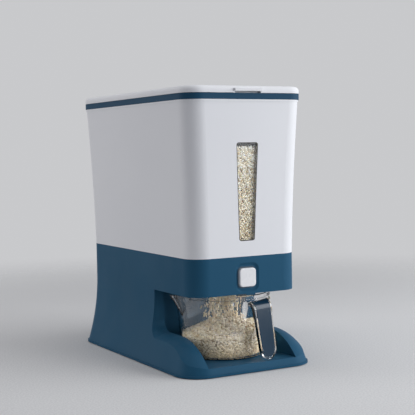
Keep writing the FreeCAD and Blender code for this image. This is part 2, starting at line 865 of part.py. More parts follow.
# ---- outlet panel and spout -------------------------------------------------------------
def throat_box(grow, z_low, z_high):
    """Block of the outlet's outline, grown all round, between two heights."""
    half_x = 0.5 * outlet_width + grow
    half_y = 0.5 * outlet_length + grow
    return box(-half_x, half_x, outlet_y - half_y, outlet_y + half_y, z_low, z_high)


def outlet_panel():
    inset = base_wall + panel_clearance
    plate = prism(base_wire(panel_z, inset, flare_top_z), panel_thickness)
    back = bay_back_y + base_wall + panel_back_overlap
    plate = plate.common(box(-far, far, -far, back, 0, far))
    tools = [throat_box(spout_play + spout_wall + spout_clearance, panel_z, panel_top_z)]
    tools.append(button_pad(panel_clearance, pad_back_y + panel_clearance))
    for x, y in panel_screw_places():
        tools.append(rod(screw_radius + screw_clearance, far, V(x, y, 0), UP))
    return cut(plate, tools)


def panel_screws():
    return [screw(x, y, panel_z, screw_length) for x, y in panel_screw_places()]


def outlet_spout():
    tube = throat_box(spout_play + spout_wall, panel_z - spout_drop, panel_top_z)
    flange_grow = spout_play + spout_wall + spout_flange_width
    flange = throat_box(flange_grow, panel_top_z, panel_top_z + spout_flange_thickness)
    throat = throat_box(spout_play, 0, far)
    return fuse([tube, flange]).cut(throat)


# ---- shutter ----------------------------------------------------------------------------
def shutter_slide():
    window = press_travel_window()
    plate = box(-slide_half_width, slide_half_width, slide_shoulder_y, slide_back_y, slide_z, slide_top_z)
    stem = box(-stem_half_width, stem_half_width, stem_front_y, slide_shoulder_y + bite, slide_z, slide_top_z)
    half_inside = 0.5 * button_size - button_wall - stem_margin
    upright_back_y = stem_front_y + stem_upright_thickness
    upright = box(-stem_half_width, stem_half_width, stem_front_y, upright_back_y,
                  button_z - half_inside, button_z + half_inside)
    rib_low = slide_top_z - bite
    rib_points = [V(0, upright_back_y - bite, rib_low), V(0, slide_shoulder_y, rib_low),
                  V(0, upright_back_y - bite, button_z + half_inside - stem_rib_drop)]
    ribs = []
    for side in (-1, 1):
        rib = Part.Face(Part.makePolygon(rib_points + rib_points[:1]))
        rib.translate(V(side * stem_rib_x - 0.5 * stem_rib_width, 0, 0))
        ribs.append(rib.extrude(V(stem_rib_width, 0, 0)))
    ears = []
    for side in (-1, 1):
        low_x, high_x = sorted((side * (slide_half_width - bite), side * (spring_x + ear_half_width)))
        ears.append(box(low_x, high_x, ear_front_y, ear_back_y,
                        spring_z - ear_half_height, spring_z + ear_half_height))
        pin_start = V(side * spring_x, ear_back_y, spring_z)
        ears.append(rod(spring_pin_radius, ear_pin_length, pin_start, BACKWARD))
    return cut(fuse([plate, stem, upright] + ribs + ears), [window])


def press_travel_window():
    """Window in the plate: one travel in front of the outlet while the button is out."""
    window = throat_box(0.0, slide_z - bite, slide_top_z + bite)
    window.translate(V(0, -press_travel, 0))
    return window


def shutter_screw_places():
    x = guide_half_width - shutter_screw_inset_x
    rows = (guide_front_y + shutter_screw_inset_y, guide_back_y - shutter_screw_inset_y)
    return [(side * x, y) for side in (-1, 1) for y in rows]


def shutter_guide():
    block = box(-guide_half_width, guide_half_width, guide_front_y, guide_back_y, panel_top_z, guide_top_z)
    half = slide_half_width + 2 * slide_running_gap
    channel = box(-half, half, guide_front_y, guide_back_y, slide_z - slide_running_gap, guide_top_z)
    flange_grow = spout_play + spout_wall + spout_flange_width + spout_clearance
    recess = throat_box(flange_grow, panel_top_z, panel_top_z + spout_flange_thickness + spout_clearance)
    pins = []
    for side in (-1, 1):
        start = V(side * spring_x, guide_front_y + bite, spring_z)
        pins.append(rod(spring_pin_radius, guide_pin_length + bite, start, FORWARD))
    holes = [rod(screw_radius, boss_hole_depth, V(x, y, guide_top_z), DOWN)
             for x, y in shutter_screw_places()]
    throat = throat_box(spout_play, panel_top_z, slide_z)
    return cut(fuse([block.cut(channel)] + pins), [recess, throat] + holes)


def shutter_cover():
    plate = box(-guide_half_width, guide_half_width, guide_front_y, guide_back_y,
                guide_top_z, cover_plate_top_z)
    socket_grow = funnel_wall + cover_clearance
    collar = throat_box(socket_grow + collar_wall, guide_top_z, cover_plate_top_z + collar_height)
    seal_seat_z = guide_top_z + shutter_seal_thickness
    seat_grow = shutter_seal_width + shutter_seal_clearance
    seat = throat_box(seat_grow, guide_top_z, seal_seat_z + shutter_seal_play)
    socket = throat_box(socket_grow, seal_seat_z, far)
    holes = [rod(screw_radius + screw_clearance, far, V(x, y, 0), UP) for x, y in shutter_screw_places()]
    return cut(fuse([plate, collar]), [seat, socket] + holes)


def shutter_seal():
    low = slide_top_z + shutter_seal_gap
    ring = throat_box(shutter_seal_width, low, guide_top_z + shutter_seal_thickness)
    return ring.cut(throat_box(shutter_seal_bore, low, far))


def shutter_screws():
    screws = []
    for x, y in shutter_screw_places():
        turned_over = screw(x, -y, -cover_plate_top_z, cover_thickness + shutter_screw_bite)
        turned_over.rotate(ORIGIN, ACROSS, 180)
        screws.append(turned_over)
    return screws


def return_spring(side):
    """Compression spring along Y between the plate's ear and the guide."""
    start = ear_back_y + spring_wire_radius + spring_end_gap
    length = guide_front_y - spring_wire_radius - spring_end_gap - start
    helix = Part.makeHelix(length / spring_turns, length, spring_radius)
    circle = Part.makeCircle(spring_wire_radius, V(spring_radius, 0, 0), BACKWARD)
    coil = Part.Wire(helix).makePipeShell([Part.Wire(circle)], True, True)
    coil.rotate(ORIGIN, ACROSS, -90)
    coil.translate(V(side * spring_x, start, spring_z))
    return coil


# ---- button -----------------------------------------------------------------------------
def button_cap():
    half = 0.5 * button_size
    flange_y = sleeve_back_y + button_flange_gap
    back = flange_y + button_flange_thickness
    block = front_block(half, half, button_corner, button_z, button_front_y, back)
    rim = [edge for edge in block.Edges if edge.BoundBox.YMax < button_front_y + 0.01]
    block = block.makeFillet(button_edge_radius, rim)
    flange_half = half + button_flange
    flange = front_block(flange_half, flange_half, button_corner + button_flange, button_z, flange_y, back)
    inner_half = half - button_wall
    hollow = front_block(inner_half, inner_half, button_corner - button_wall, button_z,
                         button_front_y + button_wall, back)
    return fuse([block, flange]).cut(hollow)


def button_guide():
    inner = 0.5 * button_size + button_gap
    outer = inner + sleeve_wall
    corner = button_corner + button_gap
    front = front_y + dish_depth
    tube = front_block(outer, outer, corner + sleeve_wall, button_z, front, sleeve_back_y)
    flange_half = outer + sleeve_flange_margin
    flange = front_block(flange_half, flange_half, dish_corner, button_z,
                         pad_back_y, pad_back_y + sleeve_flange_thickness)
    hole = front_block(inner, inner, corner, button_z, front - bite, sleeve_back_y + bite)
    return fuse([tube, flange]).cut(hole)


# ---- measuring jug ----------------------------------------------------------------------
def jug_radius(z):
    share = (z - tray_z) / (jug_top_z - jug_rim_height - tray_z)
    return jug_foot_radius + (jug_top_radius - jug_foot_radius) * share


def turned(points, corner, fillet):
    """Solid turned about the jug's axis from (radius, z) points, rounded at its foot corner."""
    wire = Part.makePolygon([V(r, 0, z) for r, z in points + points[:1]])
    solid = Part.Face(wire).revolve(ORIGIN, UP, 360)
    edges = []
    for edge in solid.Edges:
        size = edge.BoundBox
        at_height = abs(size.ZMax - corner[1]) < 0.01 and abs(size.ZMin - corner[1]) < 0.01
        if at_height and abs(size.XMax - corner[0]) < 0.01:
            edges.append(edge)
    return solid.makeFillet(fillet, edges)


def jug_outside():
    rim_z = jug_top_z - jug_rim_height
    foot = (jug_foot_radius, tray_z)
    edge = jug_rim_edge
    points = [(0, tray_z), foot, (jug_top_radius, rim_z), (jug_rim_radius, rim_z + edge),
              (jug_rim_radius, jug_top_z - edge), (jug_rim_radius - edge, jug_top_z), (0, jug_top_z)]
    return turned(points, foot, jug_foot_fillet)


def jug_inside():
    floor = tray_z + jug_floor
    over = jug_top_z + bite
    foot = (jug_radius(floor) - jug_wall, floor)
    points = [(0, floor), foot, (jug_radius(over) - jug_wall, over), (0, over)]
    return turned(points, foot, jug_foot_fillet - jug_wall)


def pour_section(z, inset):
    """Level cut of the V-shaped pouring lip, pointing along -X."""
    share = (z - pour_bottom_z) / (jug_top_z - pour_bottom_z)
    wall = jug_radius(z)
    angle = math.radians(pour_half_angle) * share
    reach = (jug_top_radius + pour_reach - jug_radius(jug_top_z)) * share
    side_x = wall * math.cos(angle)
    flank = math.atan2(wall * math.sin(angle), wall + reach - side_x)
    half = max(wall * math.sin(angle) - inset / math.cos(flank), 0.3)
    tip = wall + reach - inset / math.sin(flank)
    nose = min(pour_tip_round * share, 0.3 * half)
    slope = math.atan2(half, tip - side_x)
    centre = tip - nose
    touch = V(-centre - nose * math.sin(slope), nose * math.cos(slope), z)
    other = V(touch.x, -touch.y, z)
    low = V(-side_x, -half, z)
    high = V(-side_x, half, z)
    back_low = V(-0.7 * wall, -half, z)
    back_high = V(-0.7 * wall, half, z)
    edges = [Part.makeLine(back_low, back_high), Part.makeLine(back_high, high), Part.makeLine(high, touch),
             Part.Arc(touch, V(-tip, 0, z), other).toShape(), Part.makeLine(other, low),
             Part.makeLine(low, back_low)]
    return Part.Wire(edges)


def pour_block(inset, z_low, z_high):
    return loft([pour_section(z_low, inset), pour_section(z_high, inset)], True)


def strap_layer(outer_shift, inner_shift):
    """Strap seen from the side, between two faces parallel to its outer face; drawn out sideways."""
    lean = (strap_bottom_reach - strap_top_reach) / (strap_top_z - strap_bend_radius - strap_bottom_z)
    square = math.hypot(1.0, lean)

    def face_x(z, shift):
        return jug_top_radius + strap_bottom_reach - lean * (z - strap_bottom_z) + shift * square

    corners = []
    for shift in (outer_shift, inner_shift):
        top = strap_top_z + shift
        foot = (face_x(strap_bottom_z, shift), strap_bottom_z)
        corners.append(((jug_root, top), (face_x(top, shift), top), foot))
    outer, inner = corners
    outline = [V(r, -strap_root_width, z) for r, z in outer + inner[::-1]]
    block = Part.Face(Part.makePolygon(outline + outline[:1])).extrude(V(0, 2 * strap_root_width, 0))
    for shift, (r, z) in ((outer_shift, outer[1]), (inner_shift, inner[1])):
        bend = [edge for edge in block.Edges if near_line(edge, r, z)]
        block = block.makeFillet(strap_bend_radius + shift, bend)
    return block


def near_line(edge, x, z):
    size = edge.BoundBox
    return size.YLength > strap_root_width and abs(size.Center.x - x) < 0.01 and abs(size.Center.z - z) < 0.01


def strap_mask(margin, root_width):
    """Front view of the strap: a tongue with a round end, and a root that spreads along the wall."""
    half_low = 0.5 * strap_width - margin
    half = 0.5 * strap_top_width - margin
    centre_z = strap_bottom_z + 0.5 * strap_width
    top_z = strap_top_z + bite
    sides = [V(0, -half_low, centre_z), V(0, half_low, centre_z), V(0, half, top_z), V(0, -half, top_z)]
    tongue = Part.Face(Part.makePolygon(sides + sides[:1])).extrude(V(far, 0, 0))
    tongue = tongue.fuse(rod(half_low, far, V(0, 0, centre_z), ACROSS))
    root_half = 0.5 * root_width
    root_x = math.sqrt(jug_top_radius ** 2 - root_half ** 2)
    reach = jug_top_radius + strap_root_run
    rise = root_half - half
    sweep = ((reach - root_x) ** 2 + rise ** 2) / (2 * rise)
    level = half + sweep
    low_z = strap_top_z - gusset_depth - strap_thickness
    block = box(jug_root, reach, -level, level, low_z, top_z)
    for side in (-1, 1):
        block = block.cut(rod(sweep, far, V(reach, side * level, 0), UP))
    return tongue.fuse(block)


def root_gusset():
    """Flare of the jug's wall that carries the strap's root from below."""
    top = strap_top_z - strap_thickness
    inside = jug_top_radius - jug_wall
    outside = jug_top_radius + gusset_run
    points = [V(inside, 0, top), V(outside, 0, top), V(jug_top_radius + gusset_toe, 0, top - gusset_depth),
              V(inside, 0, top - gusset_depth)]
    flare_face = Part.Face(Part.makePolygon(points + points[:1]))
    flare_face.rotate(ORIGIN, UP, -gusset_half_angle)
    gusset = flare_face.revolve(ORIGIN, UP, 2 * gusset_half_angle)
    return gusset.common(strap_mask(0.0, strap_root_width))


def grip_block(gap):
    """The inlay in the strap's outer face, grown by a gap for its recess."""
    layer = strap_layer(grip_proud + 4 * gap, grip_proud - grip_thickness - gap)
    shape = layer.common(strap_mask(grip_margin - gap, grip_root_width + 2 * gap))
    root = rod(jug_top_radius + grip_root_margin - gap, far, ORIGIN, UP)
    return shape.cut(root)


def place_jug(shape, angle):
    shape = shape.copy()
    shape.rotate(ORIGIN, UP, angle)
    shape.translate(V(0, outlet_y, 0))
    return shape


def jug_body():
    strap = strap_layer(0.0, -strap_thickness).common(strap_mask(0.0, strap_root_width))
    strap = strap.fuse(root_gusset()).cut(grip_block(grip_clearance))
    strap.rotate(ORIGIN, UP, handle_angle)
    rim_z = jug_top_z - jug_rim_height
    pour = pour_block(0.0, pour_bottom_z + pour_toe, jug_top_z)
    pour_rim = pour_block(jug_top_radius - jug_rim_radius, rim_z, jug_top_z)
    body = fuse([jug_outside(), pour, pour_rim, strap])
    hollow = [jug_inside(), pour_block(jug_wall, pour_bottom_z + pour_hollow_toe, jug_top_z + bite)]
    return place_jug(cut(body, hollow), 0.0)


def jug_grip():
    return place_jug(grip_block(0.0), handle_angle)


# ---- the whole object -------------------------------------------------------------------
def build():
    os.makedirs("parts", exist_ok=True)
    save("base_housing", base_housing())
    save("bottom_cover", bottom_cover())
    save("bottom_cover_screws", bottom_cover_screws())
    save("rubber_feet", rubber_feet())
    save("hopper_tub", hopper_tub())
    save("hopper_screws", bin_screws())
    save("hopper_funnel", hopper_funnel())
    save("window_pane", window_pane())
    save("window_gasket", window_gasket())
    save("rim_band", rim_band())
    save("lid_panel", lid_panel())
    save("lid_seal", lid_seal())
    save("lid_hinge_pins", lid_hinge_pins())
    save("outlet_panel", outlet_panel())
    save("outlet_panel_screws", panel_screws())
    save("outlet_spout", outlet_spout())
    save("shutter_slide", shutter_slide())
    save("shutter_guide", shutter_guide())
    save("shutter_cover", shutter_cover())
    save("shutter_seal", shutter_seal())
    save("shutter_screws", shutter_screws())
    save("return_spring_left", return_spring(-1))
    save("return_spring_right", return_spring(1))
    save("button_cap", button_cap())
    save("button_guide", button_guide())
    save("jug_body", jug_body())
    save("jug_grip", jug_grip())


build()
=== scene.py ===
# %% [markdown]
# # A press-button rice dispenser
#
# The CAD frame already holds the rigid pieces: the navy base, the white bin, the lid, the shutter works
# and the clear measuring jug. Here they get their plastics, and the rice that fills the bin and the jug
# is made. Every length is in metres, in the frame of the CAD.

# %% Load the frame
import bpy
import bmesh
import math
import random
from mathutils import Matrix, Vector
from mathutils.bvhtree import BVHTree


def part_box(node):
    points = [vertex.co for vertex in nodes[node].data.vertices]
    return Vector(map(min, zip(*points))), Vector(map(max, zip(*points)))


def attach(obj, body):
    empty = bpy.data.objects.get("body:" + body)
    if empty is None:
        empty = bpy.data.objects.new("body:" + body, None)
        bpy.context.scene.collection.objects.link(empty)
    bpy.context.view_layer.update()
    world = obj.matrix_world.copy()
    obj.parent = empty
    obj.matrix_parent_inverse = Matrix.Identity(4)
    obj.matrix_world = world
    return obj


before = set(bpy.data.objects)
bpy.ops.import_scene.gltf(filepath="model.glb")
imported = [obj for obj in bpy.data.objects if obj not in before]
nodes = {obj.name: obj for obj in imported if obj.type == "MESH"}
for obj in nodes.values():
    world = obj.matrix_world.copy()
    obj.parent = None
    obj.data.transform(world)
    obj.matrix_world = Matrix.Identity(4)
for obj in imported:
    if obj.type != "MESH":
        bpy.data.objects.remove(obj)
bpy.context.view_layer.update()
mm = 0.001

# %% [markdown]
# ## Camera
#
# A long lens a metre and a half away, at the height of the bin's shoulder, looks down by a few degrees.
# The camera first looks level along +Y. Three turns then aim it: the heading about the vertical, the dip
# of the lens, and the slight lean of a camera held by hand.

# %% Camera
camera_place = Vector((-0.711467, -1.335984, 0.300383))
camera_heading = math.radians(29.122)
camera_dip = math.radians(3.243)
camera_lean = math.radians(1.023)
camera_data = bpy.data.cameras.new("camera")
camera_data.sensor_width = 36.0
camera_data.lens = 88.28
camera = bpy.data.objects.new("camera", camera_data)
aim = Matrix.Rotation(-camera_heading, 4, "Z") @ Matrix.Rotation(math.pi / 2 - camera_dip, 4, "X")
camera.matrix_world = Matrix.Translation(camera_place) @ aim @ Matrix.Rotation(-camera_lean, 4, "Z")
bpy.context.scene.collection.objects.link(camera)
bpy.context.scene.camera = camera
bpy.context.scene.view_settings.view_transform = "Standard"
print("camera at", tuple(round(v, 3) for v in camera_place))


# %% [markdown]
# ## Helpers for node trees
#
# A material is a small tree of nodes. Three helpers keep the cells below short: one adds a node with its
# settings and input values, one joins two sockets, and one gives a colour the fourth value, its alpha,
# that colour sockets ask for.

# %% Node helpers
def add_node(tree, kind, values=None, **settings):
    node = tree.nodes.new(kind)
    for name, value in settings.items():
        setattr(node, name, value)
    for name, value in (values or {}).items():
        node.inputs[name].default_value = value
    return node


def join(tree, source, output, target, socket):
    tree.links.new(source.outputs[output], target.inputs[socket])


def rgba(colour):
    return (*colour, 1.0)


# %% [markdown]
# ## Floor and light
#
# A plain pale floor fades out into a backdrop of its own colour, so no horizon shows behind the object.
# What the camera sees directly, in a reflection or through clear plastic is that backdrop. The light
# that the backdrop throws on the object is dimmer, so that the lamps do the modelling.

# %% World
backdrop_colour = (0.58, 0.585, 0.60)
ambient_colour = (0.20, 0.205, 0.225)
world = bpy.data.worlds.new("studio")
bpy.context.scene.world = world
world.use_nodes = True
tree = world.node_tree
tree.nodes.clear()
ways = add_node(tree, "ShaderNodeLightPath")
camera_or_gloss = add_node(tree, "ShaderNodeMath", operation="MAXIMUM")
seen = add_node(tree, "ShaderNodeMath", operation="MAXIMUM")
tint = add_node(tree, "ShaderNodeMix", data_type="RGBA")
tint.inputs["A"].default_value = rgba(ambient_colour)
tint.inputs["B"].default_value = rgba(backdrop_colour)
sky = add_node(tree, "ShaderNodeBackground", {"Strength": 1.0})
out = add_node(tree, "ShaderNodeOutputWorld")
join(tree, ways, "Is Camera Ray", camera_or_gloss, 0)
join(tree, ways, "Is Glossy Ray", camera_or_gloss, 1)
join(tree, camera_or_gloss, 0, seen, 0)
join(tree, ways, "Is Transmission Ray", seen, 1)
join(tree, seen, 0, tint, "Factor")
join(tree, tint, "Result", sky, "Color")
join(tree, sky, "Background", out, "Surface")
print("world:", world.name)

# %% [markdown]
# Two large soft lamps face each other across the object, one at the front right and one at the back
# left. Each lights one wall of the bin, and the round corner between the walls stays the darkest part. A
# third lamp overhead keeps the lid and the tray from going grey. The front lamp is the strong one. It
# is spread wide, so that its mirror image in the white lid isn't brighter than white.

# %% Lamps
lamp_target = Vector((0.0, 0.0, 0.2))


def soft_lamp(name, place, width, height, watts, colour):
    data = bpy.data.lights.new(name, "AREA")
    data.shape = "RECTANGLE"
    data.size = width
    data.size_y = height
    data.energy = watts
    data.color = colour
    lamp = bpy.data.objects.new(name, data)
    lamp.location = place
    lamp.rotation_mode = "QUATERNION"
    lamp.rotation_quaternion = (lamp_target - Vector(place)).to_track_quat("-Z", "Y")
    bpy.context.scene.collection.objects.link(lamp)


soft_lamp("front_right_lamp", (1.42, -1.12, 0.70), width=2.3, height=1.0, watts=34.0,
          colour=(0.96, 0.98, 1.0))
soft_lamp("back_left_lamp", (-1.35, 0.95, 0.75), width=1.0, height=1.0, watts=8.3, colour=(1.0, 0.99, 0.98))
soft_lamp("top_lamp", (0.0, -0.2, 1.6), width=1.2, height=1.2, watts=7.0, colour=(1.0, 1.0, 1.0))

# %% [markdown]
# The floor is a worktop of pale stone with a fine speckle. Its finish turns transparent with the distance
# from the object, which lets the backdrop through, and near the object it keeps the shadow.

# %% Floor
floor_reach = 2.4
fade_start = 0.55
fade_end = 1.5
stone_colour = (0.62, 0.62, 0.625)
speck_colour = (0.73, 0.73, 0.73)
floor_mesh = bpy.data.meshes.new("floor")
bm = bmesh.new()
bmesh.ops.create_circle(bm, cap_ends=True, segments=96, radius=floor_reach)
bm.to_mesh(floor_mesh)
bm.free()
floor = bpy.data.objects.new("floor", floor_mesh)
bpy.context.scene.collection.objects.link(floor)

floor_finish = bpy.data.materials.new("pale worktop")
floor_finish.use_nodes = True
tree = floor_finish.node_tree
tree.nodes.clear()
place = add_node(tree, "ShaderNodeTexCoord")
distance = add_node(tree, "ShaderNodeVectorMath", operation="LENGTH")
fade = add_node(tree, "ShaderNodeMapRange", {"From Min": fade_start, "From Max": fade_end},
                interpolation_type="SMOOTHSTEP")
speckle = add_node(tree, "ShaderNodeTexNoise", {"Scale": 420.0, "Detail": 3.0})
specks = add_node(tree, "ShaderNodeMapRange", {"From Min": 0.35, "From Max": 0.65})
colours = add_node(tree, "ShaderNodeMix", data_type="RGBA")
colours.inputs["A"].default_value = rgba(stone_colour)
colours.inputs["B"].default_value = rgba(speck_colour)
surface = add_node(tree, "ShaderNodeBsdfPrincipled", {"Roughness": 0.75, "Specular IOR Level": 0.2})
clear = add_node(tree, "ShaderNodeBsdfTransparent")
blend = add_node(tree, "ShaderNodeMixShader")
result = add_node(tree, "ShaderNodeOutputMaterial")
join(tree, place, "Object", distance, 0)
join(tree, distance, "Value", fade, "Value")
join(tree, place, "Object", speckle, "Vector")
join(tree, speckle, "Fac", specks, "Value")
join(tree, specks, "Result", colours, "Factor")
join(tree, colours, "Result", surface, "Base Color")
join(tree, fade, "Result", blend, "Fac")
join(tree, surface, "BSDF", blend, 1)
join(tree, clear, "BSDF", blend, 2)
join(tree, blend, "Shader", result, "Surface")
floor_mesh.materials.append(floor_finish)
print("floor radius", floor_reach, "m")


# %% [markdown]
# ## Shared surface effects
#
# Injection-moulded plastic is never a flat colour. The steel of the mould is spark-eroded or polished, and
# leaves a fine grain. The wall sinks and swells a little as it cools. Fingers leave duller patches, and
# the colour drifts slightly from one end of the wall to the other. One node group gives all four, grain
# and waves as one height and the other two as masks, so that each plastic can use its own amounts.

# %% Group: moulded skin
def new_group(name, inputs, outputs):
    group = bpy.data.node_groups.new(name, "ShaderNodeTree")
    for label, value in inputs:
        socket = group.interface.new_socket(name=label, in_out="INPUT", socket_type="NodeSocketFloat")
        socket.default_value = value
    for label in outputs:
        group.interface.new_socket(name=label, in_out="OUTPUT", socket_type="NodeSocketFloat")
    return group


moulded_skin = new_group(
    "moulded skin",
    [("Grain Scale", 1400.0), ("Grain Share", 0.5), ("Wave Scale", 18.0), ("Smudge Scale", 14.0)],
    ["Height", "Drift", "Smudge"],
)
given = add_node(moulded_skin, "NodeGroupInput")
made = add_node(moulded_skin, "NodeGroupOutput")
place = add_node(moulded_skin, "ShaderNodeTexCoord")
grain = add_node(moulded_skin, "ShaderNodeTexNoise", {"Detail": 2.0, "Roughness": 0.6})
waves = add_node(moulded_skin, "ShaderNodeTexNoise", {"Detail": 1.0})
height = add_node(moulded_skin, "ShaderNodeMix", data_type="FLOAT")
drift = add_node(moulded_skin, "ShaderNodeTexNoise", {"Scale": 5.0, "Detail": 2.0})
drift_range = add_node(moulded_skin, "ShaderNodeMapRange", {"From Min": 0.3, "From Max": 0.7})
smudge = add_node(moulded_skin, "ShaderNodeTexNoise", {"Detail": 4.0, "Distortion": 0.4})
smudge_range = add_node(moulded_skin, "ShaderNodeMapRange", {"From Min": 0.42, "From Max": 0.68})
for texture in (grain, waves, drift, smudge):
    join(moulded_skin, place, "Object", texture, "Vector")
join(moulded_skin, given, "Grain Scale", grain, "Scale")
join(moulded_skin, given, "Wave Scale", waves, "Scale")
join(moulded_skin, given, "Smudge Scale", smudge, "Scale")
join(moulded_skin, given, "Grain Share", height, "Factor")
join(moulded_skin, waves, "Fac", height, "A")
join(moulded_skin, grain, "Fac", height, "B")
join(moulded_skin, height, "Result", made, "Height")
join(moulded_skin, drift, "Fac", drift_range, "Value")
join(moulded_skin, drift_range, "Result", made, "Drift")
join(moulded_skin, smudge, "Fac", smudge_range, "Value")
join(moulded_skin, smudge_range, "Result", made, "Smudge")
print("group:", moulded_skin.name)

# %% [markdown]
# Dust settles only where a surface faces up, and it lies in patches. The group takes the upward part
# of the surface's normal and breaks it up with a noise.

# %% Group: settled dust
settled_dust = new_group("settled dust", [("Patch Scale", 60.0), ("Amount", 0.5)], ["Dust"])
given = add_node(settled_dust, "NodeGroupInput")
made = add_node(settled_dust, "NodeGroupOutput")
facing = add_node(settled_dust, "ShaderNodeNewGeometry")
parts = add_node(settled_dust, "ShaderNodeSeparateXYZ")
upward = add_node(settled_dust, "ShaderNodeMapRange", {"From Min": 0.35, "From Max": 1.0})
place = add_node(settled_dust, "ShaderNodeTexCoord")
patches = add_node(settled_dust, "ShaderNodeTexNoise", {"Detail": 5.0, "Roughness": 0.7})
patch_range = add_node(settled_dust, "ShaderNodeMapRange", {"From Min": 0.40, "From Max": 0.75})
both = add_node(settled_dust, "ShaderNodeMath", operation="MULTIPLY")
amount = add_node(settled_dust, "ShaderNodeMath", operation="MULTIPLY")
join(settled_dust, facing, "Normal", parts, "Vector")
join(settled_dust, parts, "Z", upward, "Value")
join(settled_dust, place, "Object", patches, "Vector")
join(settled_dust, given, "Patch Scale", patches, "Scale")
join(settled_dust, patches, "Fac", patch_range, "Value")
join(settled_dust, upward, "Result", both, 0)
join(settled_dust, patch_range, "Result", both, 1)
join(settled_dust, both, 0, amount, 0)
join(settled_dust, given, "Amount", amount, 1)
join(settled_dust, amount, 0, made, "Dust")
print("group:", settled_dust.name)

# %% [markdown]
# ## Opaque plastics
#
# The bin and the lid are white with a satin skin, the base and the band are navy. All are the same
# recipe with other numbers: a colour that drifts between two close shades, dust on what faces up, a
# roughness that rises in the smudges, and a shallow bump for grain and waves. The specular level of the
# large walls is low, because a fine-grained skin scatters most of what it would mirror.

# %% Recipe: moulded plastic
dust_colour = (0.45, 0.44, 0.42)


def mix_colours(tree, first, second, mask, output):
    """Mix of two colours by a mask. The first may also be another mix."""
    mix = add_node(tree, "ShaderNodeMix", data_type="RGBA")
    if isinstance(first, bpy.types.Node):
        join(tree, first, "Result", mix, "A")
    else:
        mix.inputs["A"].default_value = rgba(first)
    mix.inputs["B"].default_value = rgba(second)
    join(tree, mask, output, mix, "Factor")
    return mix


def moulded_plastic(name, colour, drift_colour, roughness, dull, grain, depth, dust=0.0, specular=0.5):
    """Satin plastic. dull is the roughness in the smudges, depth the height of the grain in metres."""
    material = bpy.data.materials.new(name)
    material.use_nodes = True
    tree = material.node_tree
    surface = tree.nodes["Principled BSDF"]
    surface.inputs["Specular IOR Level"].default_value = specular
    skin = add_node(tree, "ShaderNodeGroup", node_tree=moulded_skin)
    skin.inputs["Grain Scale"].default_value = grain
    shade = mix_colours(tree, colour, drift_colour, skin, "Drift")
    if dust:
        dirt = add_node(tree, "ShaderNodeGroup", node_tree=settled_dust)
        dirt.inputs["Amount"].default_value = dust
        shade = mix_colours(tree, shade, dust_colour, dirt, "Dust")
    join(tree, shade, "Result", surface, "Base Color")
    gloss = add_node(tree, "ShaderNodeMapRange", {"To Min": roughness, "To Max": dull})
    join(tree, skin, "Smudge", gloss, "Value")
    join(tree, gloss, "Result", surface, "Roughness")
    bump = add_node(tree, "ShaderNodeBump", {"Strength": 1.0, "Distance": depth})
    join(tree, skin, "Height", bump, "Height")
    join(tree, bump, "Normal", surface, "Normal")
    return material


def dress(material, *names):
    for name in names:
        mesh = nodes[name].data
        mesh.materials.clear()
        mesh.materials.append(material)
    print(material.name, "->", ", ".join(names))


# %% [markdown]
# The bin's white is a cool one with a trace of blue. The button is a smoother piece, polished by fingers.
# The funnel, the spout and the shutter works are left in the plastic's natural off-white.

# %% White bin, lid, button and works
bin_white = moulded_plastic(
    "white satin plastic", colour=(0.80, 0.805, 0.83), drift_colour=(0.775, 0.78, 0.81),
    roughness=0.50, dull=0.60, grain=1500.0, depth=0.04 * mm, specular=0.15)
dress(bin_white, "hopper_tub", "lid_panel")
button_white = moulded_plastic(
    "white button plastic", colour=(0.82, 0.82, 0.835), drift_colour=(0.79, 0.79, 0.81),
    roughness=0.26, dull=0.40, grain=1800.0, depth=0.03 * mm)
dress(button_white, "button_cap")
works_white = moulded_plastic(
    "natural works plastic", colour=(0.74, 0.74, 0.72), drift_colour=(0.70, 0.70, 0.68),
    roughness=0.42, dull=0.55, grain=900.0, depth=0.06 * mm)
dress(works_white, "hopper_funnel", "outlet_spout", "shutter_slide", "shutter_guide", "shutter_cover")

# %% [markdown]
# The navy is dyed into the plastic, so nothing is painted. The band's shade is a little deeper than that
# of the base. The panels under the base and behind the button have a duller skin, because nobody
# polishes a mould for a hidden face.

# %% Navy base, band and panels
base_navy = moulded_plastic(
    "navy satin plastic", colour=(0.016, 0.079, 0.147), drift_colour=(0.019, 0.089, 0.163),
    roughness=0.46, dull=0.56, grain=1300.0, depth=0.06 * mm, dust=0.03, specular=0.08)
dress(base_navy, "base_housing")
band_navy = moulded_plastic(
    "navy band plastic", colour=(0.014, 0.058, 0.112), drift_colour=(0.018, 0.068, 0.126),
    roughness=0.42, dull=0.52, grain=1500.0, depth=0.03 * mm, specular=0.06)
dress(band_navy, "rim_band")
under_navy = moulded_plastic(
    "dull navy plastic", colour=(0.016, 0.062, 0.112), drift_colour=(0.020, 0.070, 0.125),
    roughness=0.50, dull=0.62, grain=700.0, depth=0.1 * mm)
dress(under_navy, "outlet_panel", "button_guide", "bottom_cover")

# %% [markdown]
# ## Small parts
#
# The grip set into the jug's handle is polished navy, the frame of the window a dark grey. The seals are
# milky silicone and the feet black rubber, which share the recipe above with a rougher skin.

